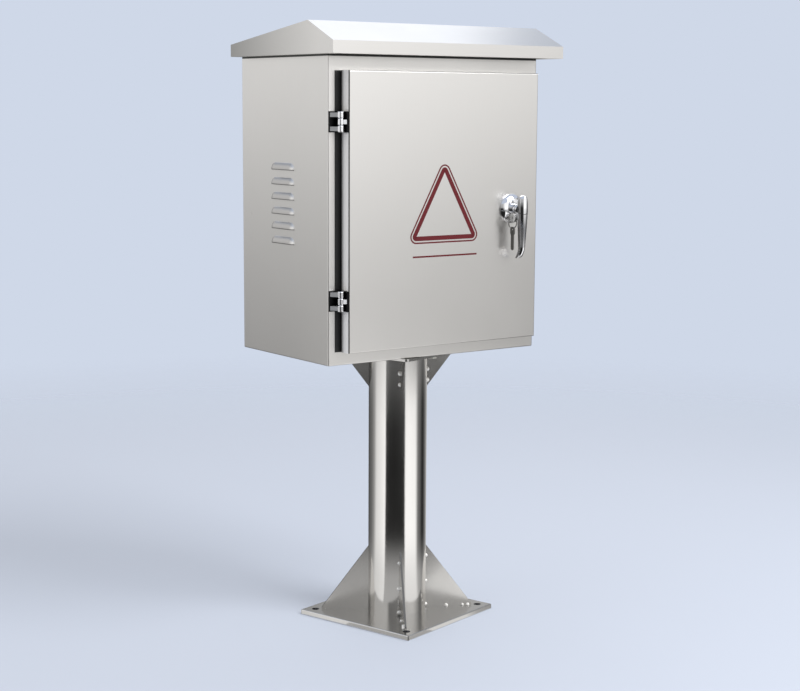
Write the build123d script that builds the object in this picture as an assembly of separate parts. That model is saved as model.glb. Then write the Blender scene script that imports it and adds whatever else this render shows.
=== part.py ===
from build123d import *
import math
import os

# Outdoor distribution cabinet on a round post, in millimetres.
# +Z is up and the door faces -Y. The origin is the centre of the base plate's underside.

# Box of folded stainless sheet
sheet = 1.5
inner_bend = 0.5
box_width = 400
box_depth = 250
box_height = 480

# Door, with its margins to the box's front
door_margin_left = 22.5
door_margin_right = 14.8
door_margin_bottom = 20.3
door_margin_top = 38.4
door_return = 20
door_gap = 2.5
door_bend = 1.6

# Raised lip around the opening, and the seal that it presses into
lip_inset = 11.5
seal_width = 10
seal_depth = 10
seal_clearance = 0.3

# Rain hood
hood_side_overhang = 19
hood_front_overhang = 42.5
hood_drop = 15
hood_fascia = 18.9
hood_rise = 30.7
hood_ridge_back = 67.8
hood_front_return = 15

# Louvres pressed out of both side walls
louvre_count = 6
louvre_pitch = 22.8
louvre_length = 67
louvre_height = 11
louvre_press = 4.5
louvre_lowest = 177
louvre_from_back = 122.5

# Stand, which is turned a little on the box and stands forward of its middle
stand_height = 441
stand_turn = 16
stand_forward = 26
post_diameter = 95
post_wall = 2
plate_width = 225
plate_height = 8
plate_sheet = 3
plate_edge_radius = 1.5
plate_seam = 1.0
anchor_inset = 17
anchor_hole_radius = 6
top_plate_width = 175
top_plate_thickness = 4
top_plate_corner = 6
gusset_thickness = 3
gusset_toe = 3
base_gusset_height = 105
base_gusset_reach = 77
top_gusset_height = 58
top_gusset_reach = 41
cable_hole_radius = 32

# Bolts between the post and the box, with their heads below
post_bolt_pcd = 140
post_bolt_radius = 4
post_bolt_clearance = 0.5
post_bolt_flats = 13
post_bolt_head = 5.3
post_nut_height = 6.5
post_washer_radius = 8
post_washer_thickness = 1.6
post_bolt_tail = 3

# Rubber grommet in the cable way
grommet_bore_radius = 28
grommet_flange = 4
grommet_flange_thickness = 2.5
grommet_clearance = 0.2

# Hinges
hinge_above_door_bottom = 78.7
hinge_below_door_top = 75.6
hinge_height = 31
hinge_pin_out = 8.5
hinge_pin_forward = 13
hinge_pin_radius = 2
hinge_running_clearance = 0.05
knuckle_radius = 5
knuckle_gap = 0.3
knuckle_edge = 1.5
leaf_thickness = 3
leaf_inset = 0.7
leaf_gap = 2
hinge_arm_height = 6.5
hinge_arm_nose = 1.5
hinge_arm_inset = 0.4
hinge_arm_waist = 4
door_arm_waist = 3
frame_leaf_clearance = 2.4
leaf_stud_radius = 2
leaf_stud_spacing = 18
leaf_nut_flats = 7
leaf_nut_height = 3.2
stud_hole_clearance = 0.2
stud_tail = 1

# Lock on the door
lock_from_right = 52.2
lock_height = 229
lock_base_radius = 23
lock_rim = 2
lock_dome = 8
lock_dome_crown = (0.62, 0.72)
lock_collar_radius = 8.5
lock_collar = 13
lock_barrel_radius = 10
lock_barrel_clearance = 0.2
lock_nut_flats = 26
lock_nut_height = 5
spindle_radius = 4.95
spindle_clearance = 0.05
spindle_square = 7
spindle_socket = 8
cam_thickness = 2.5
cam_width = 14
cam_overlap = 6.5
cam_latch_gap = 1
cam_seat_gap = 0.3
cam_screw_radius = 2.5
cam_screw_head_radius = 6.5
cam_screw_head = 3
cam_screw_length = 9

# Lock handle, whose stations are height above the pivot, half width,
# and back and front from its back plane
handle_gap = 0.3
handle_boss_radius = 8
handle_back = 21.5
handle_seam_radius = 12.5
handle_seam_width = 0.5
handle_seam_floor = 4
handle_stations = (
    (21.6, 2.6, 3.2, 8.6),
    (20.2, 4.6, 1.8, 10.4),
    (15.0, 7.2, 0.4, 11.6),
    (0.0, 7.6, 0.0, 12.0),
    (-30.0, 6.9, 0.0, 11.4),
    (-58.0, 5.6, 0.0, 9.8),
    (-68.0, 5.0, -1.2, 8.4),
    (-74.5, 4.5, -5.0, 4.6),
    (-78.4, 3.8, -8.6, -1.0),
)
handle_shoulder = 0.35

# Key, its ring and the spare key
plug_offset_x = -9
plug_offset_z = -13.5
plug_radius = 4.5
plug_clearance = 0.05
plug_boss_radius = 6.5
plug_boss = 9
plug_proud = 0.5
key_thickness = 1.9
key_blade_width = 7
key_blade_length = 9.5
key_slot_clearance = 0.05
key_bow_length = 10
key_bow_half = 6.5
key_shoulder = 3
key_corner = 1.8
key_top_half = 3.2
key_tip_chamfer = 1
key_hole_radius = 2
key_hole_out = 6
ring_radius = 8
ring_wire = 0.8
ring_slack = 0.1
spare_bow_half = 5
spare_bow_length = 13
spare_top_half = 2.5
spare_corner = 2.6
spare_tip_half = 0.9
spare_blade_width = 6
spare_length = 37
spare_hole_in = 3.6

# Mounting plate inside the box
mount_sheet = 2
mount_width = 320
mount_height = 380
mount_standoff = 14
mount_stud_spacing_x = 270
mount_stud_spacing_z = 330
mount_stud_radius = 3
mount_stud_clearance = 0.4
mount_nut_flats = 10
mount_nut_height = 5
mount_stud_tail = 3

# Rail and circuit breakers
rail_height = 290
rail_length = 270
rail_width = 35
rail_depth = 7.5
rail_sheet = 1
rail_channel = 27
rail_screw_radius = 2.5
rail_screw_head_radius = 4.5
rail_screw_head = 3
rail_screw_inset = 12
breaker_height = 85
breaker_pole = 17.5
breaker_body_depth = 45
breaker_nose_depth = 62
breaker_nose_height = 45
breaker_behind = 5
breaker_hook = 1.5
breaker_fit = 0.2
breaker_gap = 0.3
breaker_edge = 1
toggle_width = 4.6
toggle_side_gap = 0.3
toggle_barrel = 5
toggle_pivot_in = 6
toggle_axle_radius = 1.5
toggle_axle_clearance = 0.05
toggle_axle_seat = 2
toggle_length = 16
toggle_thickness = 4
toggle_tip_round = 1.6
toggle_angle = 25
toggle_slot_half = 9
toggle_slot_depth = 14
toggle_bar_in = 4
terminal_radius = 3.2
terminal_depth = 4
terminal_from_edge = 10
main_breaker_left = -105
branch_left = -45
branch_count = 4

# Neutral and earth bars
bar_height = 120
bar_length = 120
bar_gap = 40
bar_section = 9
bar_ways = 6
bar_hole_radius = 2.6
bar_screw_radius = 1.7
bar_screw_head_radius = 3
bar_screw_head = 2.4
bar_screw_depth = 3
standoff_width = 12
standoff_half_height = 9
standoff_depth = 16

# How far a cutting shape runs past the face that it cuts
past = 1

quarter_turns = (0, 90, 180, 270)

# Planes that the pieces share
box_z = stand_height
box_top = box_z + box_height
box_left = -box_width / 2
box_right = box_width / 2
box_front = stand_forward - box_depth / 2
box_back = stand_forward + box_depth / 2
back_inside = box_back - sheet
door_left = box_left + door_margin_left
door_right = box_right - door_margin_right
door_bottom = box_z + door_margin_bottom
door_top = box_top - door_margin_top
door_back = box_front - door_gap
door_face = door_back - door_return
door_inside = door_face + sheet
opening_left = door_left + lip_inset + sheet
opening_right = door_right - lip_inset - sheet
opening_bottom = door_bottom + lip_inset + sheet
opening_top = door_top - lip_inset - sheet
lip_front = door_inside + seal_depth + seal_clearance
post_radius = post_diameter / 2
plate_top = plate_height
top_plate_z = box_z - top_plate_thickness
mount_front = back_inside - mount_standoff
rail_front = mount_front - rail_depth
rail_z = box_z + rail_height
toggle_pivot_y = rail_front - breaker_nose_depth + toggle_pivot_in
bar_lefts = (-bar_gap / 2 - bar_length, bar_gap / 2)
bar_z = box_z + bar_height
bar_back = mount_front - standoff_depth
bar_front = bar_back - bar_section
pin_x = door_left - hinge_pin_out
pin_y = box_front - hinge_pin_forward
lower_hinge_z = door_bottom + hinge_above_door_bottom
upper_hinge_z = door_top - hinge_below_door_top
hinge_levels = (lower_hinge_z, upper_hinge_z)

# Places of the lock and its keys
lock_x = door_right - lock_from_right
lock_z = box_z + lock_height
cam_front = box_front + sheet + cam_latch_gap
barrel_end = cam_front - cam_seat_gap
boss_end = door_face - lock_collar - handle_gap
handle_plane = door_face - handle_back
plug_x = lock_x + plug_offset_x
plug_z = lock_z + plug_offset_z
plug_face = door_face - plug_boss - plug_proud
key_hole_y = plug_face - key_hole_out
ring_top = plug_z - key_hole_radius + ring_wire + ring_slack
ring_bottom = ring_top - 2 * ring_radius
spare_hole_z = ring_bottom - key_hole_radius + ring_wire + ring_slack


def block(x_span, y_span, z_span):
    spans = (x_span, y_span, z_span)
    sizes = [high - low for low, high in spans]
    middle = [(low + high) / 2 for low, high in spans]
    return Pos(*middle) * Box(*sizes)


def aim(axis, at, span):
    """The place of a piece whose own axis is turned from Z to the named one."""
    middle = (span[0] + span[1]) / 2
    if axis == "x":
        return Pos(middle, at[0], at[1]) * Rot(0, 90, 0)
    if axis == "y":
        return Pos(at[0], middle, at[1]) * Rot(90, 0, 0)
    return Pos(at[0], at[1], middle)


def rod(axis, radius, at, span):
    return aim(axis, at, span) * Cylinder(radius, span[1] - span[0])


def hex_rod(axis, flats, at, span):
    hexagon = RegularPolygon(flats / 2, 6, major_radius=False)
    return aim(axis, at, span) * extrude(hexagon, (span[1] - span[0]) / 2, both=True)


def square_rod(axis, side, at, span):
    return aim(axis, at, span) * Box(side, side, span[1] - span[0])


def hex_nut(axis, flats, bore_radius, at, span):
    return hex_rod(axis, flats, at, span) - rod(axis, bore_radius, at, span)


def prism_x(points, x_span):
    """A profile of (y, z) points drawn along X."""
    face = Plane.YZ.offset(x_span[0]) * make_face(Polyline(*points, close=True))
    return extrude(face, x_span[1] - x_span[0], dir=(1, 0, 0))


def prism_z(points, z_span):
    """A profile of (x, y) points drawn along Z."""
    face = Pos(0, 0, z_span[0]) * make_face(Polyline(*points, close=True))
    return extrude(face, z_span[1] - z_span[0], dir=(0, 0, 1))


def write(shape, node):
    export_step(shape, f"parts/{node}.step")


def group(solids):
    """Like pieces that share one file and stay separate solids."""
    return Compound(children=[solid.solid() for solid in solids])


def post_bolt_places():
    reach = post_bolt_pcd / 2
    turns = [math.radians(stand_turn + turn) for turn in quarter_turns]
    return [(reach * math.cos(turn), reach * math.sin(turn)) for turn in turns]


def louvre(side, edge_z):
    """The pressed dome to add to a side wall, and the air slot below it to take out."""
    radius = (louvre_height**2 + louvre_press**2) / (2 * louvre_press)
    centre_x = side * (box_width / 2 + louvre_press - radius)
    straight = louvre_length - 2 * louvre_height
    middle_y = box_back - louvre_from_back
    y_span = (middle_y - straight / 2, middle_y + straight / 2)

    def pill(size):
        body = rod("y", size, (centre_x, edge_z), y_span)
        for y in y_span:
            body += Pos(centre_x, y, edge_z) * Sphere(size)
        return body

    wall_outside = side * box_width / 2
    wall_inside = side * (box_width / 2 - sheet)
    reach = side * (box_width / 2 + 2 * louvre_press)
    wide = (y_span[0] - 2 * louvre_height, y_span[1] + 2 * louvre_height)
    above = (edge_z, edge_z + 2 * louvre_height)
    outside = block(sorted((wall_inside, reach)), wide, above)
    through = block(sorted((wall_outside - side * 2 * sheet, reach)), wide, above)
    return pill(radius) & outside, pill(radius - sheet) & through


def enclosure_shell():
    outer = block((box_left, box_right), (box_front, box_back), (box_z, box_top))
    outer = fillet(outer.edges(), sheet + inner_bend)
    inner = block(
        (box_left + sheet, box_right - sheet),
        (box_front + sheet, box_back - sheet),
        (box_z + sheet, box_top - sheet),
    )
    shell = outer - inner
    lip = block(
        (opening_left - sheet, opening_right + sheet),
        (lip_front, box_front + sheet),
        (opening_bottom - sheet, opening_top + sheet),
    )
    opening = block(
        (opening_left, opening_right),
        (lip_front - sheet, box_front + 2 * sheet),
        (opening_bottom, opening_top),
    )
    shell = shell + lip - opening
    for side in (-1, 1):
        for index in range(louvre_count):
            dome, slot = louvre(side, box_z + louvre_lowest + index * louvre_pitch)
            shell = shell + dome - slot
    floor_span = (box_z - sheet, box_z + 2 * sheet)
    shell -= rod("z", cable_hole_radius, (0, 0), floor_span)
    for at in post_bolt_places():
        shell -= rod("z", post_bolt_radius + post_bolt_clearance, at, floor_span)
    front_span = (box_front - sheet, box_front + 2 * sheet)
    for level in hinge_levels:
        for at in frame_stud_places(level):
            shell -= rod("y", leaf_stud_radius + stud_hole_clearance, at, front_span)
    return shell


def rain_hood():
    low = box_top - hood_drop
    eave = low + hood_fascia
    ridge = eave + hood_rise
    front = box_front - hood_front_overhang
    ridge_y = front + hood_ridge_back
    back = box_back + sheet
    half = box_width / 2 + hood_side_overhang
    outer = prism_x(
        [(front, low), (front, eave), (ridge_y, ridge), (back, eave), (back, low)],
        (-half, half),
    )
    front_slope = math.atan2(hood_rise, hood_ridge_back)
    back_slope = math.atan2(hood_rise, back - ridge_y)
    front_lift = sheet / math.cos(front_slope)
    back_lift = sheet / math.cos(back_slope)
    inner_eave_front = eave + sheet * math.tan(front_slope) - front_lift
    inner_eave_back = eave + sheet * math.tan(back_slope) - back_lift
    turn = (front_lift - back_lift) / (math.tan(front_slope) + math.tan(back_slope))
    inner_ridge = ridge - back_lift - turn * math.tan(back_slope)
    inner = prism_x(
        [
            (front + sheet, low + sheet),
            (front + sheet, inner_eave_front),
            (ridge_y + turn, inner_ridge),
            (back - sheet, inner_eave_back),
            (back - sheet, low + sheet),
        ],
        (-half + sheet, half - sheet),
    )
    mouth = block(
        (box_left, box_right),
        (front + hood_front_return, box_back),
        (low - sheet, low + 2 * sheet),
    )
    return outer - inner - mouth


def door_panel():
    outer = block((door_left, door_right), (door_face, door_back), (door_bottom, door_top))
    front_edges = outer.edges().group_by(Axis.Y)[0]
    outer = fillet(front_edges, door_bend)
    inner = block(
        (door_left + sheet, door_right - sheet),
        (door_inside, door_back + sheet),
        (door_bottom + sheet, door_top - sheet),
    )
    panel = outer - inner
    through = (door_face - sheet, door_inside + sheet)
    panel -= rod("y", lock_barrel_radius + lock_barrel_clearance, (lock_x, lock_z), through)
    panel -= rod("y", plug_radius + lock_barrel_clearance, (plug_x, plug_z), through)
    for level in hinge_levels:
        for at in door_stud_places(level):
            span = (door_left - sheet, door_left + 2 * sheet)
            panel -= rod("x", leaf_stud_radius + stud_hole_clearance, at, span)
    return panel


def door_seal():
    side = (seal_width - sheet) / 2
    left = opening_left - sheet - side
    right = opening_right + sheet + side
    low = opening_bottom - sheet - side
    high = opening_top + sheet + side
    span = (door_inside, door_inside + seal_depth)
    ring = block((left, right), span, (low, high))
    ring = fillet(ring.edges().filter_by(Axis.Y), seal_width)
    hollow = block(
        (left + seal_width, right - seal_width),
        (door_inside - sheet, door_inside + seal_depth + sheet),
        (low + seal_width, high - seal_width),
    )
    return ring - hollow


def base_plate():
    half = plate_width / 2
    plate = block((-half, half), (-half, half), (0, plate_height))
    plate = fillet(plate.edges().group_by(Axis.Z)[-1], plate_edge_radius)
    inside = half - plate_sheet
    plate -= block((-inside, inside), (-inside, inside), (-past, plate_height - plate_sheet))
    diagonal = math.sqrt(2)
    through = (-past, plate_height + past)
    seam = block(
        (inside * diagonal - plate_seam, half * diagonal + plate_seam),
        (-plate_seam / 2, plate_seam / 2),
        through,
    )
    anchor = half - anchor_inset
    hole = rod("z", anchor_hole_radius, (anchor * diagonal, 0), through)
    for turn in quarter_turns:
        plate -= Rot(0, 0, 45 + turn) * seam
        plate -= Rot(0, 0, 45 + turn) * hole
    return Rot(0, 0, stand_turn) * (plate - rod("z", cable_hole_radius, (0, 0), through))


def post_tube():
    span = (plate_top, top_plate_z)
    return rod("z", post_radius, (0, 0), span) - rod("z", post_radius - post_wall, (0, 0), span)


def top_plate():
    half = top_plate_width / 2
    span = (top_plate_z, box_z)
    plate = block((-half, half), (-half, half), span)
    plate = Rot(0, 0, stand_turn) * fillet(plate.edges().filter_by(Axis.Z), top_plate_corner)
    plate -= rod("z", cable_hole_radius, (0, 0), span)
    for at in post_bolt_places():
        plate -= rod("z", post_bolt_radius + post_bolt_clearance, at, span)
    return plate


def gusset(seat_z, rise, reach, turn):
    """A triangular web on the post. rise is negative for one that hangs from the top plate."""
    toe = math.copysign(gusset_toe, rise)
    tip = post_radius + reach
    inside = post_radius - 2 * post_wall
    points = [
        (inside, seat_z),
        (tip, seat_z),
        (tip, seat_z + toe),
        (post_radius, seat_z + rise),
        (inside, seat_z + rise),
    ]
    web = extrude(Plane.XZ * make_face(Polyline(*points, close=True)), gusset_thickness / 2, both=True)
    web -= rod("z", post_radius, (0, 0), sorted((seat_z - rise, seat_z + 2 * rise)))
    return Rot(0, 0, turn) * web


def post_fixings():
    bolts = []
    washers = []
    nuts = []
    floor = box_z + sheet
    seat = floor + post_washer_thickness
    nut_top = seat + post_nut_height
    for at in post_bolt_places():
        head = hex_rod("z", post_bolt_flats, at, (top_plate_z - post_bolt_head, top_plate_z))
        bolts.append(head + rod("z", post_bolt_radius, at, (top_plate_z, nut_top + post_bolt_tail)))
        ring = rod("z", post_washer_radius, at, (floor, seat))
        washers.append(ring - rod("z", post_bolt_radius, at, (floor, seat)))
        nuts.append(hex_nut("z", post_bolt_flats, post_bolt_radius, at, (seat, nut_top)))
    return group(bolts), group(washers), group(nuts)


def cable_grommet():
    inner = grommet_bore_radius
    waist = cable_hole_radius - grommet_clearance
    brim = cable_hole_radius + grommet_flange
    low = top_plate_z
    high = box_z + sheet
    points = [
        (inner, low - grommet_flange_thickness),
        (brim, low - grommet_flange_thickness),
        (brim, low),
        (waist, low),
        (waist, high),
        (brim, high),
        (brim, high + grommet_flange_thickness),
        (inner, high + grommet_flange_thickness),
    ]
    return revolve(Plane.XZ * make_face(Polyline(*points, close=True)), Axis.Z)


def frame_stud_places(centre_z):
    x = (box_left + pin_x) / 2 + leaf_thickness / 2
    half = leaf_stud_spacing / 2
    return [(x, centre_z - half), (x, centre_z + half)]


def door_stud_places(centre_z):
    half = leaf_stud_spacing / 2
    return [(pin_y, centre_z - half), (pin_y, centre_z + half)]


def knuckle(bore_radius, centre_z):
    pitch = hinge_height / 3
    half = (pitch - knuckle_gap) / 2
    span = (centre_z - half, centre_z + half)
    bead = fillet(rod("z", knuckle_radius, (pin_x, pin_y), span).edges(), knuckle_edge)
    return bead, rod("z", bore_radius, (pin_x, pin_y), (span[0] - past, span[1] + past))


def hinge(centre_z):
    """The frame leaf with its two outer knuckles, the door leaf with the middle one, and the pin."""
    half = hinge_height / 2
    pitch = hinge_height / 3
    leaf_front = box_front - leaf_thickness
    arm_half = hinge_arm_height / 2
    tangent = knuckle_radius - hinge_arm_inset

    frame_leaf = block(
        (box_left + leaf_inset, door_left - frame_leaf_clearance),
        (leaf_front, box_front),
        (centre_z - half, centre_z + half),
    )
    for level in (centre_z - pitch, centre_z + pitch):
        bead, bore = knuckle(hinge_pin_radius, level)
        arm = prism_z(
            [
                (pin_x - hinge_arm_nose, pin_y - tangent),
                (pin_x + hinge_arm_nose, pin_y - tangent),
                (pin_x + hinge_arm_waist, pin_y),
                (pin_x + hinge_arm_waist, leaf_front),
                (box_left + 2 * leaf_inset, leaf_front),
            ],
            (level - arm_half, level + arm_half),
        )
        frame_leaf = frame_leaf + arm + bead - bore
    stud_end = box_front + sheet + leaf_nut_height + stud_tail
    for at in frame_stud_places(centre_z):
        frame_leaf += rod("y", leaf_stud_radius, at, (box_front, stud_end))

    door_leaf = block(
        (door_left - leaf_thickness, door_left),
        (door_face + leaf_inset, leaf_front - leaf_gap),
        (centre_z - half, centre_z + half),
    )
    bead, bore = knuckle(hinge_pin_radius + hinge_running_clearance, centre_z)
    leaf_side = door_left - leaf_thickness
    arm = prism_z(
        [
            (pin_x - tangent, pin_y + hinge_arm_nose),
            (pin_x - tangent, pin_y - hinge_arm_nose),
            (leaf_side, door_face + 2 * leaf_inset),
            (leaf_side, pin_y + door_arm_waist),
        ],
        (centre_z - arm_half, centre_z + arm_half),
    )
    door_leaf = door_leaf + arm + bead - bore
    stud_end = door_left + sheet + leaf_nut_height + stud_tail
    for at in door_stud_places(centre_z):
        door_leaf += rod("x", leaf_stud_radius, at, (door_left, stud_end))

    pin = rod("z", hinge_pin_radius, (pin_x, pin_y), (centre_z - half, centre_z + half))
    return frame_leaf, door_leaf, pin


def leaf_nuts():
    frame_nuts = []
    door_nuts = []
    for level in hinge_levels:
        inside = box_front + sheet
        for at in frame_stud_places(level):
            span = (inside, inside + leaf_nut_height)
            frame_nuts.append(hex_nut("y", leaf_nut_flats, leaf_stud_radius, at, span))
        inside = door_left + sheet
        for at in door_stud_places(level):
            span = (inside, inside + leaf_nut_height)
            door_nuts.append(hex_nut("x", leaf_nut_flats, leaf_stud_radius, at, span))
    return group(frame_nuts), group(door_nuts)


def lock_base():
    """A domed escutcheon with a collar for the handle, a boss for the key and a barrel through the door."""
    dome_rise = lock_dome - lock_rim
    dome_run = lock_base_radius - lock_collar_radius
    run_share, rise_share = lock_dome_crown
    crown = (lock_collar_radius + run_share * dome_run, lock_rim + rise_share * dome_rise)
    outline = [
        Line((0, 0), (lock_base_radius, 0)),
        Line((lock_base_radius, 0), (lock_base_radius, lock_rim)),
        ThreePointArc((lock_base_radius, lock_rim), crown, (lock_collar_radius, lock_dome)),
        Line((lock_collar_radius, lock_dome), (lock_collar_radius, lock_collar)),
        Line((lock_collar_radius, lock_collar), (0, lock_collar)),
        Line((0, lock_collar), (0, 0)),
    ]
    dome = revolve(Plane.XZ * make_face(outline), Axis.Z)
    base = Pos(lock_x, door_face, lock_z) * Rot(90, 0, 0) * dome
    base += rod("y", plug_boss_radius, (plug_x, plug_z), (door_face - plug_boss, door_face))
    base += rod("y", lock_barrel_radius, (lock_x, lock_z), (door_face, barrel_end))
    bore_span = (door_face - lock_collar - past, barrel_end + past)
    base -= rod("y", spindle_radius + spindle_clearance, (lock_x, lock_z), bore_span)
    plug_span = (door_face - plug_boss - past, door_face + past)
    return base - rod("y", plug_radius + plug_clearance, (plug_x, plug_z), plug_span)


def lock_nut():
    span = (door_inside, door_inside + lock_nut_height)
    return hex_nut("y", lock_nut_flats, lock_barrel_radius, (lock_x, lock_z), span)


def handle_section(height, half_width, back, front):
    """A D-shaped section of the handle, flat towards the door."""
    side = back + handle_shoulder * (front - back)
    outline = [
        Line((-half_width, -back), (half_width, -back)),
        Line((half_width, -back), (half_width, -side)),
        ThreePointArc((half_width, -side), (0, -front), (-half_width, -side)),
        Line((-half_width, -side), (-half_width, -back)),
    ]
    return (Pos(lock_x, handle_plane, lock_z + height) * make_face(outline)).face()


def lock_handle():
    lever = loft([handle_section(*station) for station in handle_stations])
    boss = rod("y", handle_boss_radius, (lock_x, lock_z), (handle_plane - past, boss_end))
    socket_span = (boss_end - spindle_socket, boss_end + past)
    handle = lever + boss - square_rod("y", spindle_square, (lock_x, lock_z), socket_span)
    seam_span = (handle_plane - 2 * handle_back, handle_plane - handle_seam_floor)
    at = (lock_x, lock_z)
    seam = rod("y", handle_seam_radius + handle_seam_width, at, seam_span)
    seam -= rod("y", handle_seam_radius, at, seam_span)
    reach = 2 * handle_seam_radius
    below = block((lock_x - reach, lock_x + reach), seam_span, (lock_z - reach, lock_z))
    return handle - (seam & below)


def lock_spindle():
    at = (lock_x, lock_z)
    shaft = rod("y", spindle_radius, at, (boss_end, cam_front))
    shaft += square_rod("y", spindle_square, at, (boss_end - spindle_socket, boss_end))
    cam_back = cam_front + cam_thickness
    shaft += square_rod("y", spindle_square, at, (cam_front, cam_back))
    return shaft - rod("y", cam_screw_radius, at, (cam_back - cam_screw_length, cam_back))


def lock_cam():
    """A flat bar that points up while the handle hangs and goes behind the frame after a quarter turn."""
    reach = opening_right + cam_overlap - lock_x
    cam_span = (cam_front, cam_front + cam_thickness)
    half = cam_width / 2
    bar = block((lock_x - half, lock_x + half), cam_span, (lock_z, lock_z + reach))
    bar = fillet(bar.edges().filter_by(Axis.Y).group_by(Axis.Z)[-1], half / 2)
    bar += rod("y", half, (lock_x, lock_z), cam_span)
    return bar - square_rod("y", spindle_square, (lock_x, lock_z), cam_span)


def cam_screw():
    at = (lock_x, lock_z)
    cam_back = cam_front + cam_thickness
    head = rod("y", cam_screw_head_radius, at, (cam_back, cam_back + cam_screw_head))
    head = fillet(head.edges().group_by(Axis.Y)[-1], cam_screw_head / 3)
    return head + rod("y", cam_screw_radius, at, (cam_back - cam_screw_length, cam_back))


def key_plug():
    plug = rod("y", plug_radius, (plug_x, plug_z), (plug_face, door_inside))
    half_thick = key_thickness / 2 + key_slot_clearance
    half_wide = key_blade_width / 2 + key_slot_clearance
    slot = block(
        (plug_x - half_thick, plug_x + half_thick),
        (plug_face - past, plug_face + key_blade_length + key_slot_clearance),
        (plug_z - half_wide, plug_z + half_wide),
    )
    return plug - slot


def key():
    blade_half = key_blade_width / 2
    tip = plug_face + key_blade_length
    half_bow = [
        (tip, blade_half - key_tip_chamfer),
        (tip - key_tip_chamfer, blade_half),
        (plug_face, blade_half),
        (plug_face - key_shoulder, key_bow_half),
        (plug_face - key_bow_length + key_corner, key_bow_half),
        (plug_face - key_bow_length, key_top_half),
    ]
    upper = [(y, plug_z + z) for y, z in half_bow]
    lower = [(y, plug_z - z) for y, z in reversed(half_bow)]
    half_thick = key_thickness / 2
    span = (plug_x - half_thick, plug_x + half_thick)
    return prism_x(upper + lower, span) - rod("x", key_hole_radius, (key_hole_y, plug_z), span)


def key_ring():
    ring = Torus(ring_radius, ring_wire)
    return Pos(plug_x, key_hole_y, ring_top - ring_radius) * Rot(90, 0, 0) * ring


def spare_key():
    """A key that hangs from the ring with its blade down."""
    top = spare_hole_z + spare_hole_in
    neck = top - spare_bow_length
    tip = top - spare_length
    blade_half = spare_blade_width / 2
    half_key = [
        (spare_top_half, top),
        (spare_bow_half, top - spare_corner),
        (spare_bow_half, neck + key_shoulder),
        (blade_half, neck),
        (blade_half, tip + blade_half - spare_tip_half),
        (spare_tip_half, tip),
    ]
    near = [(key_hole_y - y, z) for y, z in half_key]
    far = [(key_hole_y + y, z) for y, z in reversed(half_key)]
    half_thick = key_thickness / 2
    span = (plug_x - half_thick, plug_x + half_thick)
    hole = rod("x", key_hole_radius, (key_hole_y, spare_hole_z), span)
    return prism_x(near + far, span) - hole


def stud_places():
    middle = (box_z + box_top) / 2
    half_x = mount_stud_spacing_x / 2
    half_z = mount_stud_spacing_z / 2
    return [(x, middle + z) for x in (-half_x, half_x) for z in (-half_z, half_z)]


def mounting_plate():
    """A plate whose two sides are folded back onto the rear wall."""
    middle = (box_z + box_top) / 2
    z_span = (middle - mount_height / 2, middle + mount_height / 2)
    half = mount_width / 2
    tray = block((-half, half), (mount_front, back_inside), z_span)
    inside = block(
        (-half + mount_sheet, half - mount_sheet),
        (mount_front + mount_sheet, back_inside + past),
        (z_span[0] - past, z_span[1] + past),
    )
    plate = tray - inside
    through = (mount_front - past, mount_front + mount_sheet + past)
    for at in stud_places():
        plate -= rod("y", mount_stud_radius + mount_stud_clearance, at, through)
    for x in rail_screw_places():
        plate -= rod("y", rail_screw_radius, (x, rail_z), through)
    return plate


def mounting_studs_and_nuts():
    studs = []
    nuts = []
    nut_front = mount_front - mount_nut_height
    for at in stud_places():
        studs.append(rod("y", mount_stud_radius, at, (nut_front - mount_stud_tail, back_inside)))
        span = (nut_front, mount_front)
        nuts.append(hex_nut("y", mount_nut_flats, mount_stud_radius, at, span))
    return group(studs), group(nuts)


def rail_screw_places():
    half = rail_length / 2 - rail_screw_inset
    return (-half, half)


def din_rail():
    """The top-hat section, opened towards the door."""
    brim = rail_width / 2
    outside = rail_channel / 2
    inside = outside - rail_sheet
    brim_back = rail_front + rail_sheet
    base_front = mount_front - rail_sheet
    half_section = [
        (mount_front, outside),
        (brim_back, outside),
        (brim_back, brim),
        (rail_front, brim),
        (rail_front, inside),
        (base_front, inside),
    ]
    upper = [(y, rail_z + z) for y, z in half_section]
    lower = [(y, rail_z - z) for y, z in reversed(half_section)]
    rail = prism_x(upper + lower, (-rail_length / 2, rail_length / 2))
    for x in rail_screw_places():
        rail -= rod("y", rail_screw_radius, (x, rail_z), (base_front - past, mount_front + past))
    return rail


def rail_screws():
    screws = []
    seat = mount_front - rail_sheet
    for x in rail_screw_places():
        head = rod("y", rail_screw_head_radius, (x, rail_z), (seat - rail_screw_head, seat))
        head = fillet(head.edges().group_by(Axis.Y)[0], rail_screw_head / 3)
        span = (seat, mount_front + 2 * mount_sheet)
        screws.append(head + rod("y", rail_screw_radius, (x, rail_z), span))
    return group(screws)


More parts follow.
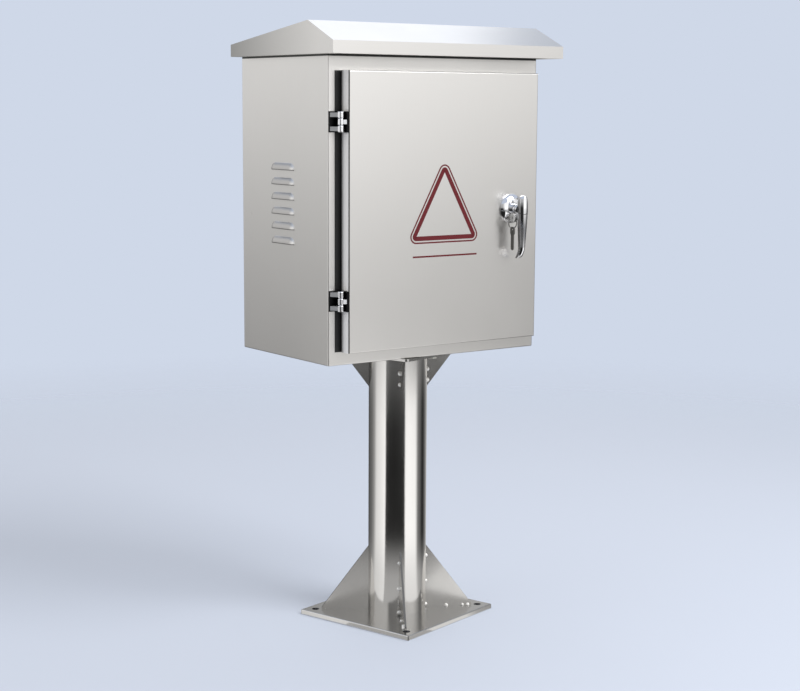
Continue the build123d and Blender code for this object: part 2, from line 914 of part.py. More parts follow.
def breaker(left, poles):
    """A circuit breaker that clips over the rail's brims, with a slot for each pole's toggle."""
    half = breaker_height / 2
    nose = breaker_nose_height / 2
    brim = rail_width / 2 + breaker_fit
    hook = brim - breaker_hook
    hook_front = rail_front + rail_sheet + breaker_fit
    back = rail_front + breaker_behind
    body_front = rail_front - breaker_body_depth
    nose_front = rail_front - breaker_nose_depth
    half_profile = [
        (rail_front, brim),
        (hook_front, brim),
        (hook_front, hook),
        (back, hook),
        (back, half),
        (body_front, half),
        (body_front, nose),
        (nose_front, nose),
    ]
    upper = [(y, rail_z + z) for y, z in half_profile]
    lower = [(y, rail_z - z) for y, z in reversed(half_profile)]
    right = left + poles * breaker_pole
    body = prism_x(upper + lower, (left + breaker_gap / 2, right - breaker_gap / 2))
    front_edges = body.edges().filter_by(Axis.X).group_by(Axis.Y)[0]
    body = fillet(front_edges, breaker_edge)
    slot_half = toggle_width / 2 + toggle_side_gap
    hole_half = slot_half + toggle_axle_seat + toggle_side_gap
    hole_radius = toggle_axle_radius + toggle_axle_clearance
    for pole in range(poles):
        x = left + (pole + 0.5) * breaker_pole
        body -= block(
            (x - slot_half, x + slot_half),
            (nose_front - past, nose_front + toggle_slot_depth),
            (rail_z - toggle_slot_half, rail_z + toggle_slot_half),
        )
        body -= rod("x", hole_radius, (toggle_pivot_y, rail_z), (x - hole_half, x + hole_half))
        for side in (-1, 1):
            z = rail_z + side * (half - terminal_from_edge)
            body -= rod("y", terminal_radius, (x, z), (body_front - past, body_front + terminal_depth))
    return body


def toggle(left, poles):
    """The levers of one breaker in the up position, tied by a bar where it has two."""
    lever_z = (rail_z - toggle_thickness / 2, rail_z + toggle_thickness / 2)
    tip = toggle_pivot_y - toggle_length
    pieces = None
    for pole in range(poles):
        x = left + (pole + 0.5) * breaker_pole
        x_span = (x - toggle_width / 2, x + toggle_width / 2)
        lever = block(x_span, (tip, toggle_pivot_y), lever_z)
        lever = fillet(lever.edges().filter_by(Axis.X).group_by(Axis.Y)[0], toggle_tip_round)
        lever += rod("x", toggle_barrel, (toggle_pivot_y, rail_z), x_span)
        axle_half = toggle_width / 2 + toggle_side_gap + toggle_axle_seat
        axle_span = (x - axle_half, x + axle_half)
        lever += rod("x", toggle_axle_radius, (toggle_pivot_y, rail_z), axle_span)
        pieces = lever if pieces is None else pieces + lever
    if poles > 1:
        first = left + 0.5 * breaker_pole
        last = left + (poles - 0.5) * breaker_pole
        tie_front = tip + toggle_tip_round
        pieces += block((first, last), (tie_front, tie_front + toggle_bar_in), lever_z)
    pivot = Pos(0, toggle_pivot_y, rail_z)
    return pivot * Rot(-toggle_angle, 0, 0) * pivot.inverse() * pieces


def bar_way_places(left):
    pitch = bar_length / (bar_ways + 1)
    return [left + pitch * (way + 1) for way in range(bar_ways)]


def terminal_bar(left):
    """A brass bar with a wire hole from below and a clamping screw at each way."""
    z_span = (bar_z - bar_section / 2, bar_z + bar_section / 2)
    bar = block((left, left + bar_length), (bar_front, bar_back), z_span)
    middle = (bar_front + bar_back) / 2
    for x in bar_way_places(left):
        bar -= rod("z", bar_hole_radius, (x, middle), (z_span[0] - past, z_span[1] + past))
        bar -= rod("y", bar_screw_radius, (x, bar_z), (bar_front - past, middle))
    return bar


def bar_standoffs():
    blocks = []
    z_span = (bar_z - standoff_half_height, bar_z + standoff_half_height)
    for left in bar_lefts:
        for x in (left, left + bar_length - standoff_width):
            blocks.append(block((x, x + standoff_width), (bar_back, mount_front), z_span))
    return group(blocks)


def terminal_screws():
    screws = []
    depth = bar_front + bar_section / 2 - bar_hole_radius
    for left in bar_lefts:
        for x in bar_way_places(left):
            head = rod("y", bar_screw_head_radius, (x, bar_z), (bar_front - bar_screw_head, bar_front))
            screws.append(head + rod("y", bar_screw_radius, (x, bar_z), (bar_front, depth)))
    return group(screws)


os.makedirs("parts", exist_ok=True)

write(enclosure_shell(), "enclosure_shell")
write(rain_hood(), "rain_hood")
write(door_panel(), "door_panel")
write(door_seal(), "door_seal")

write(base_plate(), "base_plate")
write(post_tube(), "post_tube")
write(top_plate(), "top_plate")
for number, turn in enumerate(quarter_turns, 1):
    corner = stand_turn + 45 + turn
    foot = gusset(plate_top, base_gusset_height, base_gusset_reach, corner)
    write(foot, f"base_gusset_{number}")
    head = gusset(top_plate_z, -top_gusset_height, top_gusset_reach, corner)
    write(head, f"top_gusset_{number}")
post_bolts, post_washers, post_nuts = post_fixings()
write(post_bolts, "post_bolts")
write(post_washers, "post_washers")
write(post_nuts, "post_nuts")
write(cable_grommet(), "cable_grommet")

for name, level in zip(("lower", "upper"), hinge_levels):
    frame_leaf, door_leaf, pin = hinge(level)
    write(frame_leaf, f"{name}_frame_leaf")
    write(door_leaf, f"{name}_door_leaf")
    write(pin, f"{name}_hinge_pin")
frame_leaf_nuts, door_leaf_nuts = leaf_nuts()
write(frame_leaf_nuts, "frame_leaf_nuts")
write(door_leaf_nuts, "door_leaf_nuts")

write(lock_base(), "lock_base")
write(lock_nut(), "lock_nut")
write(lock_handle(), "lock_handle")
write(lock_spindle(), "lock_spindle")
write(lock_cam(), "lock_cam")
write(cam_screw(), "cam_screw")
write(key_plug(), "key_plug")
write(key(), "key")
write(key_ring(), "key_ring")
write(spare_key(), "spare_key")

write(mounting_plate(), "mounting_plate")
mounting_studs, mounting_nuts = mounting_studs_and_nuts()
write(mounting_studs, "mounting_studs")
write(mounting_nuts, "mounting_nuts")
write(din_rail(), "din_rail")
write(rail_screws(), "rail_screws")
write(breaker(main_breaker_left, 2), "main_breaker")
write(toggle(main_breaker_left, 2), "main_toggle")
for index in range(branch_count):
    left = branch_left + index * breaker_pole
    write(breaker(left, 1), f"branch_breaker_{index + 1}")
    write(toggle(left, 1), f"branch_toggle_{index + 1}")
write(terminal_bar(bar_lefts[0]), "neutral_bar")
write(terminal_bar(bar_lefts[1]), "earth_bar")
write(bar_standoffs(), "bar_standoffs")
write(terminal_screws(), "terminal_screws")
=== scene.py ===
import math
import bpy
from mathutils import Matrix, Vector


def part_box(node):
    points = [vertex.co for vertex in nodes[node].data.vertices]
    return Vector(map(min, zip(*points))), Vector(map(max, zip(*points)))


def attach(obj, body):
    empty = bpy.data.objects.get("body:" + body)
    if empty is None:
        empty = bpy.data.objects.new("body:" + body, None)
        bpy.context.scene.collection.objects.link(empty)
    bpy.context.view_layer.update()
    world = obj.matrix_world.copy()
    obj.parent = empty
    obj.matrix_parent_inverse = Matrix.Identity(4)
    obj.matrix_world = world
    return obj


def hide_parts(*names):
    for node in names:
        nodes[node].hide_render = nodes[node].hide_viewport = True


# An outdoor distribution cabinet, dressed for rendering. Lengths are in metres unless a name ends in Mm.

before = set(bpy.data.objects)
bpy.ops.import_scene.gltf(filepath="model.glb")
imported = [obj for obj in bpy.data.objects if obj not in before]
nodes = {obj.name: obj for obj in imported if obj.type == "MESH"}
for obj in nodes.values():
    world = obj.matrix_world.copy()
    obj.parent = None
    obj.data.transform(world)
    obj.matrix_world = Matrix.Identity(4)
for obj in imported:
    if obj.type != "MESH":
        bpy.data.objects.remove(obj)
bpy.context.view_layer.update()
scene = bpy.context.scene
mm = 0.001


def linear(hexColour):
    channels = [int(hexColour[i:i + 2], 16) / 255 for i in (1, 3, 5)]
    return [c / 12.92 if c <= 0.04045 else ((c + 0.055) / 1.055) ** 2.4 for c in channels] + [1.0]


def addNode(tree, kind, settings=None, values=None, links=None):
    node = tree.nodes.new(kind)
    for name, value in (settings or {}).items():
        setattr(node, name, value)
    for name, value in (values or {}).items():
        node.inputs[name].default_value = value
    for name, source in (links or {}).items():
        tree.links.new(source, node.inputs[name])
    return node


def emptyTree(data):
    # The node tree of a material or a world, with nothing in it
    data.use_nodes = True
    data.node_tree.nodes.clear()
    return data.node_tree


def newMaterial(name):
    material = bpy.data.materials.new(name)
    tree = emptyTree(material)
    shader = addNode(tree, "ShaderNodeBsdfPrincipled")
    addNode(tree, "ShaderNodeOutputMaterial", links={"Surface": shader.outputs["BSDF"]})
    place = addNode(tree, "ShaderNodeTexCoord").outputs["Object"]
    return material, tree, shader, place


def meshPiece(name, vertices, faces):
    mesh = bpy.data.meshes.new(name)
    mesh.from_pydata(vertices, [], faces)
    mesh.update()
    piece = bpy.data.objects.new(name, mesh)
    scene.collection.objects.link(piece)
    return piece


def dress(material, *names):
    for name in names:
        slots = nodes[name].data.materials
        slots.clear()
        slots.append(material)


# Camera, at the photograph's angle
view = {
    "place": (-1.5738, -2.199, 0.8329),
    "heading": 35.658,  # degrees from +Y towards +X
    "tilt": 8.152,  # degrees down
    "roll": 0.289,
    "focalPixels": 1682.9,
    "imagePixels": 800,
    "sensorMm": 36,
    "farthest": 50,
}


def makeCamera():
    data = bpy.data.cameras.new("photoCamera")
    data.sensor_width = view["sensorMm"]
    data.lens = view["focalPixels"] * view["sensorMm"] / view["imagePixels"]
    data.clip_end = view["farthest"]
    camera = bpy.data.objects.new("photoCamera", data)
    scene.collection.objects.link(camera)
    heading = Matrix.Rotation(-math.radians(view["heading"]), 4, "Z")
    tilt = Matrix.Rotation(math.radians(90 - view["tilt"]), 4, "X")
    roll = Matrix.Rotation(math.radians(view["roll"]), 4, "Z")
    camera.matrix_world = Matrix.Translation(view["place"]) @ heading @ tilt @ roll
    scene.camera = camera


makeCamera()
print("stage: camera placed")


# Studio: a pale floor that fades into the background, with soft boxes and dark flags for the metal to reflect
studio = {
    "background": "#cfd8e8",
    "floor": "#cbd2e0",
    "floorRadius": 8.0,
    "floorSides": 96,
    "fade": (1.1, 3.0),  # where the floor turns into the background
    "fill": 0.95,  # what matt surfaces get from all round
    "cardStep": 3,  # degrees
    "cardLift": 1 * mm,  # above the floor
    "clearance": 1 * mm,  # between the floor card and the foot plate
    "aimHeight": 0.6,
    "wallRadius": 3.6,
    # Heights of the wall's rows, then the glow of each row at each bearing. Bearings are in degrees from the
    # camera's side and positive to its right. A bearing given twice is a sharp edge.
    "wallRows": (0.0, 0.5, 1.0, 2.4),
    "wall": (
        (-180, (0.4, 0.6, 0.85, 0.9)), (-166, (0.1, 0.15, 0.2, 0.3)), (-148, (0.1, 0.15, 0.2, 0.3)),
        (-128, (0.35, 0.62, 0.95, 1.05)), (-104, (0.3, 0.65, 1.0, 1.1)),
        (-100, (0.5, 0.8, 1.1, 1.2)), (-40, (0.6, 0.95, 1.2, 1.2)), (-30, (0.02, 0.03, 0.4, 0.5)),
        (2, (0.02, 0.03, 0.5, 0.6)), (16, (0.2, 0.6, 1.05, 1.1)), (26, (0.3, 1.5, 1.3, 1.2)),
        (62, (0.12, 1.35, 1.25, 1.15)), (74, (0.1, 0.95, 1.15, 1.1)), (88, (0.1, 0.4, 0.9, 0.85)),
        (100, (0.08, 0.15, 0.4, 0.4)), (125, (0.08, 0.15, 0.25, 0.3)),
        (150, (0.4, 0.5, 0.7, 0.8)), (180, (0.4, 0.6, 0.85, 0.9)),
    ),
    # The same for the floor, with rows by distance from the post. Only shiny surfaces see these.
    "floorRows": (0.11, 0.3, 0.42, 0.54, 2.1, 2.5, 3.55),
    "floorBands": (
        (-180, (0.3, 0.3, 0.12, 0.08, 0.08, 0.12, 0.3)), (-150, (0.3, 0.3, 0.14, 0.09, 0.09, 0.14, 0.3)),
        (-120, (0.35, 0.35, 0.24, 0.18, 0.18, 0.24, 0.35)), (-104, (0.5, 0.5, 0.4, 0.36, 0.36, 0.4, 0.5)),
        (-90, (0.8, 0.8, 0.85, 0.9, 0.9, 0.8, 0.6)), (-60, (0.9, 0.9, 1.0, 1.1, 1.15, 1.0, 0.7)),
        (-47, (0.9, 1.0, 1.15, 1.3, 1.3, 1.1, 0.7)), (-47, (0.5, 0.45, 0.25, 0.02, 0.015, 0.2, 0.06)),
        (29, (0.5, 0.45, 0.25, 0.02, 0.015, 0.2, 0.06)), (29, (0.9, 1.0, 1.15, 1.3, 1.3, 0.9, 0.2)),
        (74, (0.9, 1.0, 1.1, 1.25, 1.2, 0.65, 0.15)), (86, (0.5, 0.5, 0.3, 0.24, 0.24, 0.3, 0.25)),
        (112, (0.3, 0.3, 0.12, 0.02, 0.02, 0.12, 0.2)), (122, (0.3, 0.3, 0.14, 0.04, 0.04, 0.14, 0.2)),
        (138, (0.4, 0.4, 0.3, 0.22, 0.22, 0.3, 0.3)), (165, (0.6, 0.6, 0.6, 0.6, 0.6, 0.6, 0.6)),
        (180, (0.3, 0.3, 0.12, 0.08, 0.08, 0.12, 0.3)),
    ),
}
lamps = {  # angles in degrees, and watts of light
    "key": {"bearing": 62, "rise": 38, "away": 3.2, "size": 1.7, "watts": 60},
    "hoodBox": {"bearing": 188, "rise": 42, "away": 3.0, "size": 2.1, "watts": 13},
}


def bearing(degrees, radius, height):
    # A point around the post, at that many degrees to the right of the camera's side
    x, y, _ = view["place"]
    angle = math.atan2(y, x) + math.radians(degrees)
    return Vector((radius * math.cos(angle), radius * math.sin(angle), height))


def glowMaterial():
    material = bpy.data.materials.new("cardGlow")
    tree = emptyTree(material)
    glow = addNode(tree, "ShaderNodeAttribute", {"attribute_name": "glow"})
    light = addNode(tree, "ShaderNodeEmission", links={"Strength": glow.outputs["Fac"]})
    addNode(tree, "ShaderNodeOutputMaterial", links={"Surface": light.outputs["Emission"]})
    return material


plate = {
    "turn": math.radians(16),  # how far the foot plate is turned about the post
    # painted shade: the foot plate's top is coloured darker, for the shade and dark reflections on it
    "top": "#9b9a98",
    "seam": "#101010",  # the open seam at each corner of its folded rim
    "seamRoughness": 0.7,
    "seamMm": 0.8,
    "seamFadeMm": 0.1,
}


def plateHalf():
    # Half of the foot plate's side, from the box round the turned plate
    low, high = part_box("base_plate")
    return (high.x - low.x) / 2 / (math.cos(plate["turn"]) + math.sin(plate["turn"]))


def plateEdge(degrees):
    # How far the foot plate reaches from the post's axis in that direction
    spot = bearing(degrees, 1, 0)
    spot.rotate(Matrix.Rotation(-plate["turn"], 3, "Z"))
    return plateHalf() / max(abs(spot.x), abs(spot.y))


def card(name, rows, bands, material):
    # A sheet round the post: its rows are (radius, height) pairs, and each band gives a glow for every row
    points, glows, faces = [], [], []
    for (start, first), (end, last) in zip(bands, bands[1:]):
        steps = max(1, round((end - start) / studio["cardStep"]))
        for step in range(steps + 1 if end > start else 0):
            share = step / steps
            angle = start + (end - start) * share
            for (radius, height), low, high in zip(rows, first, last):
                clear = plateEdge(angle) + studio["clearance"]
                points.append(bearing(angle, max(radius, clear), height))
                glows.append(low + (high - low) * share)
            if step:
                base = len(points) - 2 * len(rows)
                for i in range(base, base + len(rows) - 1):
                    faces.append((i, i + 1, i + len(rows) + 1, i + len(rows)))
    piece = meshPiece(name, points, faces)
    piece.data.attributes.new("glow", "FLOAT", "POINT").data.foreach_set("value", glows)
    piece.data.materials.append(material)
    piece.visible_camera = False
    piece.visible_shadow = False
    return piece


def makeWorld():
    world = bpy.data.worlds.new("studio")
    scene.world = world
    tree = emptyTree(world)
    pale = addNode(tree, "ShaderNodeBackground", values={"Color": linear(studio["background"])})
    fill = addNode(tree, "ShaderNodeBackground", values={"Strength": studio["fill"]})
    rays = addNode(tree, "ShaderNodeLightPath")
    seen = addNode(tree, "ShaderNodeMath",
                   links={0: rays.outputs["Is Camera Ray"], 1: rays.outputs["Is Glossy Ray"]})
    clear = addNode(tree, "ShaderNodeMath", {"use_clamp": True},
                    links={0: seen.outputs[0], 1: rays.outputs["Is Transmission Ray"]})
    mix = addNode(tree, "ShaderNodeMixShader",
                  links={0: clear.outputs[0], 1: fill.outputs[0], 2: pale.outputs[0]})
    addNode(tree, "ShaderNodeOutputWorld", links={"Surface": mix.outputs[0]})


def makeFloor():
    count = studio["floorSides"]
    angles = [math.tau * i / count for i in range(count)]
    rim = [Vector((math.cos(angle), math.sin(angle), 0)) * studio["floorRadius"] for angle in angles]
    floor = meshPiece("floor", rim, [tuple(range(count))])
    material = bpy.data.materials.new("paleFloor")
    tree = emptyTree(material)
    place = addNode(tree, "ShaderNodeTexCoord").outputs["Object"]
    away = addNode(tree, "ShaderNodeVectorMath", {"operation": "LENGTH"}, links={0: place}).outputs["Value"]
    values = {"From Min": studio["fade"][0], "From Max": studio["fade"][1]}
    gone = addNode(tree, "ShaderNodeMapRange", {"interpolation_type": "SMOOTHSTEP"}, values, {"Value": away})
    matt = addNode(tree, "ShaderNodeBsdfDiffuse", values={"Color": linear(studio["floor"])})
    air = addNode(tree, "ShaderNodeBsdfTransparent")
    mix = addNode(tree, "ShaderNodeMixShader",
                  links={0: gone.outputs["Result"], 1: matt.outputs[0], 2: air.outputs[0]})
    addNode(tree, "ShaderNodeOutputMaterial", links={"Surface": mix.outputs[0]})
    floor.data.materials.append(material)


def makeCards():
    material = glowMaterial()
    wall = [(studio["wallRadius"], height) for height in studio["wallRows"]]
    card("wallCard", wall, studio["wall"], material)
    ground = [(radius, studio["cardLift"]) for radius in studio["floorRows"]]
    card("floorCard", ground, studio["floorBands"], material).visible_diffuse = False


def makeLamps():
    aim = Vector((0, 0, studio["aimHeight"]))
    for name, spec in lamps.items():
        data = bpy.data.lights.new(name, "AREA")
        data.size = spec["size"]
        data.energy = spec["watts"]
        lamp = bpy.data.objects.new(name, data)
        scene.collection.objects.link(lamp)
        rise = math.radians(spec["rise"])
        out, up = spec["away"] * math.cos(rise), spec["away"] * math.sin(rise)
        lamp.location = bearing(spec["bearing"], out, aim.z + up)
        lamp.rotation_euler = (aim - lamp.location).to_track_quat("-Z", "Y").to_euler()


makeWorld()
makeFloor()
makeCards()
makeLamps()
scene.view_settings.view_transform = "Standard"
print("stage: studio lit")


# Metal finishes. Each grain is finer on the real sheet than the render can show, so it is drawn coarser.
metals = {
    "satinStainlessSheet": {  # 304 sheet, brushed and then lightly blasted: soft, even reflections
        "colour": "#dbd9d6",
        "roughness": (0.27, 0.35), "grainMm": (0.9, 0.9, 45), "cloudMm": 160, "dent": 0.1,
    },
    "satinHoodSheet": {  # the same sheet with its grain along the ridge
        "colour": "#d6d4d1",
        "roughness": (0.26, 0.34), "grainMm": (45, 0.9, 0.9), "cloudMm": 160, "dent": 0.1,
    },
    "polishedStainlessTube": {  # welded tube, belt polished: clear bands with slightly soft edges
        "colour": "#e4e2df",
        "roughness": (0.10, 0.17), "grainMm": (1.2, 1.2, 70), "cloudMm": 60, "dent": 0.06,
    },
    "millStainlessPlate": {  # cut plate as it leaves the mill: greyer and a little mottled
        "colour": "#dcdad7",
        "roughness": (0.16, 0.26), "grainMm": (40, 1.2, 1.2), "cloudMm": 45, "dent": 0.12,
    },
    "tackWeldSteel": {  # painted highlight: stainless filler coloured near white and part matt, so the beads show as bright dots
        "colour": "#fbf9f5", "metallic": 0.4,
        "roughness": (0.4, 0.55), "grainMm": (1.5, 1.5, 1.5), "cloudMm": 5, "dent": 0.1,
    },
    "zincPlatedSteel": {  # bright zinc on small fixings: pale, with a short blurred shine
        "colour": "#c4c4be",
        "roughness": (0.24, 0.36), "grainMm": (2, 2, 2), "cloudMm": 8, "dent": 0.05,
    },
    "castChrome": {  # plated zinc casting: mirror bright
        "colour": "#e8e8ea",
        "roughness": (0.05, 0.09), "grainMm": (3, 3, 3), "cloudMm": 20, "dent": 0.03,
    },
    "nickelKeySteel": {  # nickel on pressed steel, dulled by handling
        "colour": "#8d8b88",
        "roughness": (0.25, 0.42), "grainMm": (1, 1, 6), "cloudMm": 6, "dent": 0.12,
    },
    "brightNickelKey": {  # the key in daily use, worn bright
        "colour": "#f6f4f0", "metallic": 0.5,
        "roughness": (0.2, 0.3), "grainMm": (1, 1, 6), "cloudMm": 6, "dent": 0.08,
    },
    "turnedPinSteel": {  # turned bar: fine rings round the pin, a clear shine along it
        "colour": "#bdbbb8",
        "roughness": (0.18, 0.26), "grainMm": (4, 4, 0.6), "cloudMm": 6, "dent": 0.1,
    },
    "galvanisedSheet": {  # hot-dip spangle shows as faint cloudy patches
        "colour": "#c2c5c8",
        "roughness": (0.34, 0.5), "grainMm": (6, 6, 6), "cloudMm": 14, "dent": 0.06,
    },
    "sawnBrass": {  # drawn bar cut to length: warm, with cross marks from the saw
        "colour": "#cfae62",
        "roughness": (0.24, 0.36), "grainMm": (0.8, 20, 20), "cloudMm": 18, "dent": 0.12,
    },
}
metalMix = {
    "cloudShare": 0.55,  # of the clouds against the grain
    "noise": (0.3, 0.7),  # what the noise mostly keeps to
    "darkest": 0.93,  # of the colour, at the top of the noise
    "reliefMm": 0.05,
}


def shadedBy(tree, mask, colour, darkest):
    # The colour where the mask is 0, down to the darkest share of it where the mask is 1
    base = linear(colour)
    values = {6: base, 7: [channel * darkest for channel in base[:3]] + [1.0]}
    return addNode(tree, "ShaderNodeMix", {"data_type": "RGBA"}, values, {0: mask}).outputs[2]


def metal(name):
    spec = metals[name]
    material, tree, shader, place = newMaterial(name)
    scale = [1 / (size * mm) for size in spec["grainMm"]]
    stretched = addNode(tree, "ShaderNodeMapping", values={"Scale": scale}, links={"Vector": place})
    grain = addNode(tree, "ShaderNodeTexNoise", values={"Scale": 1.0, "Detail": 3.0, "Roughness": 0.6},
                    links={"Vector": stretched.outputs[0]})
    cloud = addNode(tree, "ShaderNodeTexNoise", values={"Scale": 1 / (spec["cloudMm"] * mm), "Detail": 4.0},
                    links={"Vector": place})
    both = addNode(tree, "ShaderNodeMix", {"data_type": "FLOAT"}, {"Factor": metalMix["cloudShare"]},
                   {2: grain.outputs["Fac"], 3: cloud.outputs["Fac"]}).outputs[0]
    (low, high), (smoothest, dullest) = metalMix["noise"], spec["roughness"]
    values = {"From Min": low, "From Max": high, "To Min": smoothest, "To Max": dullest}
    dull = addNode(tree, "ShaderNodeMapRange", values=values, links={"Value": both})
    tree.links.new(dull.outputs["Result"], shader.inputs["Roughness"])
    tree.links.new(shadedBy(tree, both, spec["colour"], metalMix["darkest"]), shader.inputs["Base Color"])
    values = {"Strength": spec["dent"], "Distance": metalMix["reliefMm"] * mm}
    bump = addNode(tree, "ShaderNodeBump", values=values, links={"Height": grain.outputs["Fac"]})
    tree.links.new(bump.outputs["Normal"], shader.inputs["Normal"])
    shader.inputs["Metallic"].default_value = spec.get("metallic", 1.0)
    return material


finish = {name: metal(name) for name in metals}


def copyFinish(source, name):
    finish[name] = finish[source].copy()
    finish[name].name = name
    return finish[name].node_tree


def between(tree, source, low, high, bothWays=False):
    # 0 at the low limit and beyond it, 1 at the high limit and beyond it. Low may be the greater number.
    if bothWays:  # the same on both sides of zero
        source = addNode(tree, "ShaderNodeMath", {"operation": "ABSOLUTE"}, links={0: source}).outputs[0]
    values = {"From Min": low, "From Max": high}
    return addNode(tree, "ShaderNodeMapRange", values=values, links={"Value": source}).outputs["Result"]


def product(tree, *sources):
    result = sources[0]
    for source in sources[1:]:
        node = addNode(tree, "ShaderNodeMath", {"operation": "MULTIPLY"}, links={0: result, 1: source})
        result = node.outputs[0]
    return result


def blend(name, mask, values):
    # Where the mask is 1, the finish takes these values, or what these sockets give
    tree = finish[name].node_tree
    shader = next(node for node in tree.nodes if node.type == "BSDF_PRINCIPLED")
    for key, value in values.items():
        # A mix node has other sockets for colours than for plain values
        socket = shader.inputs[key]
        kind, first, second, out = ("RGBA", 6, 7, 2) if key == "Base Color" else ("FLOAT", 2, 3, 0)
        mix = addNode(tree, "ShaderNodeMix", {"data_type": kind}, links={0: mask})
        if isinstance(value, bpy.types.NodeSocket):
            tree.links.new(value, mix.inputs[second])
        else:
            mix.inputs[second].default_value = value
        if socket.links:
            tree.links.new(socket.links[0].from_socket, mix.inputs[first])
        else:
            mix.inputs[first].default_value = socket.default_value
        tree.links.new(mix.outputs[out], socket)


def axes(tree, output="Object"):
    source = addNode(tree, "ShaderNodeTexCoord").outputs[output]
    return addNode(tree, "ShaderNodeSeparateXYZ", links={0: source}).outputs


# How much of the normal lies along an axis, where a face counts as squarely or slightly turned to it
squarely = (0.7, 0.8)
slightly = (0.1, 0.2)


def sideways(tree):
    # 1 where the surface faces left or right
    return between(tree, axes(tree, "Normal")[0], *squarely, bothWays=True)


doorGap = 2.5 * mm  # between the door's back and the front of the box
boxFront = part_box("door_panel")[1].y + doorGap
doorSideShading = {  # painted light: the door's folded sides are coloured light, with painted shade towards the frame
    "back": "#767573",
    "front": "#fbf9f6",
    "roughness": 0.6,
    "fadeMm": 7,
}


def doorSheet():
    # Paints light onto the door's folded sides, darkening to painted shade at their backs
    tree = copyFinish("satinStainlessSheet", "paintedSideDoorSheet")
    side = sideways(tree)
    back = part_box("door_panel")[1].y
    forward = between(tree, axes(tree)[1], back, back - doorSideShading["fadeMm"] * mm)
    values = {6: linear(doorSideShading["back"]), 7: linear(doorSideShading["front"])}
    tone = addNode(tree, "ShaderNodeMix", {"data_type": "RGBA"}, values, {0: forward})
    values = {"Roughness": doorSideShading["roughness"], "Metallic": 0.0, "Base Color": tone.outputs[2]}
    blend("paintedSideDoorSheet", side, values)


bendReflection = {  # painted reflection: the tight outer bends are coloured dark for the dark side of the room they mirror
    "colour": "#4c4c4b",
    "onFrontMm": 1.4,
    "onSideMm": 2.1,
    "fadeMm": 0.28,
}


def paintBendReflection(name, node, front):
    # Painted dark reflection on the upright bend where the left side meets the front
    tree = finish[name].node_tree
    x, y, _ = axes(tree)
    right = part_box(node)[0].x + bendReflection["onFrontMm"] * mm
    back = front + bendReflection["onSideMm"] * mm
    fade = bendReflection["fadeMm"] * mm
    mask = product(tree, between(tree, x, right, right - fade), between(tree, y, back, back - fade))
    blend(name, mask, {"Base Color": linear(bendReflection["colour"])})


boxFrame = {
    "gapShade": "#101010",  # painted shade: black on the frame beside the door's hinged side, for the shadow and dark reflection in the gap
    "gapShadeRoughness": 0.5,
    "besideMm": 11,  # how far the painted shade shows beside the door
    "behindMm": 7,  # and how far it runs behind it
    "outerFadeMm": 0.2,  # at the painted shade's outer edge
    "fadeMm": 0.5,
    "hoodShadow": "#3c3c3b",  # painted shadow on the box just under the hood
    "hoodShadowMm": 2.4,
}


def paintFrameShade(name):
    tree = finish[name].node_tree
    x, y, z = axes(tree)
    (left, _, bottom), (_, _, top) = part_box("door_panel")
    fade = boxFrame["fadeMm"] * mm
    start, end = left - boxFrame["besideMm"] * mm, left + boxFrame["behindMm"] * mm
    outer = start - boxFrame["outerFadeMm"] * mm
    # Painted shade in the gap beside the door's hinged side
    gapShade = product(tree, between(tree, x, outer, start), between(tree, x, end + 2 * fade, end),
                    between(tree, y, boxFront + 2 * fade, boxFront + fade),
                    between(tree, z, bottom, bottom + fade), between(tree, z, top, top - fade))
    values = {"Roughness": boxFrame["gapShadeRoughness"], "Metallic": 0.0}
    blend(name, gapShade, {"Base Color": linear(boxFrame["gapShade"]), **values})
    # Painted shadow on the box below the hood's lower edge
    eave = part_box("rain_hood")[0].z - boxFrame["hoodShadowMm"] * mm
    blend(name, between(tree, z, eave - fade, eave), {"Base Color": linear(boxFrame["hoodShadow"])})


louvres = {  # painted shade: the louvres are coloured darker than the sheet, most of all at their backs and above their lower lips
    "pressMm": 4.5,
    "lowestMm": 177,  # lower lip, above the box's floor
    "pitchMm": 22.8,
    "fromMm": -5,  # front and back ends, along the box's depth
    "toMm": 62,
    # painted shade over the louvres' bodies, deeper at their backs and lips
    "body": "#b2b0ae",
    "shade": "#5c5b5a",
    # Each of these gives where the painted shade starts, and where it is in full
    "proudMm": (0.2, 0.8),  # out of the sheet
    "bodyMm": (4, 9),  # behind the front ends
    "rearMm": (8, 4),  # ahead of the back ends
    "lipMm": (1.3, 0.91),  # above the lower lips
}


def louvreShade(name):
    tree = finish[name].node_tree
    x, y, z = axes(tree)
    low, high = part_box("enclosure_shell")
    side = (high.x - low.x) / 2 - louvres["pressMm"] * mm
    proud = between(tree, x, *[side + limit * mm for limit in louvres["proudMm"]], bothWays=True)
    body = between(tree, y, *[(louvres["fromMm"] + limit) * mm for limit in louvres["bodyMm"]])
    blend(name, product(tree, proud, body), {"Base Color": linear(louvres["body"])})
    rear = between(tree, y, *[(louvres["toMm"] - limit) * mm for limit in louvres["rearMm"]])
    blend(name, product(tree, proud, rear), {"Base Color": linear(louvres["shade"])})
    lowest = low.z + louvres["lowestMm"] * mm
    above = addNode(tree, "ShaderNodeMath", {"operation": "SUBTRACT"}, {1: lowest}, {0: z})
    row = addNode(tree, "ShaderNodeMath", {"operation": "FLOORED_MODULO"}, {1: louvres["pitchMm"] * mm},
                  {0: above.outputs[0]})
    lip = between(tree, row.outputs[0], *[limit * mm for limit in louvres["lipMm"]])
    blend(name, product(tree, proud, lip), {"Base Color": linear(louvres["shade"])})


hoodEndShading = {  # painted shade: the hood's ends darker towards the back
    "colour": "#949391",
    "fromMm": 40,  # behind the hood's front
}


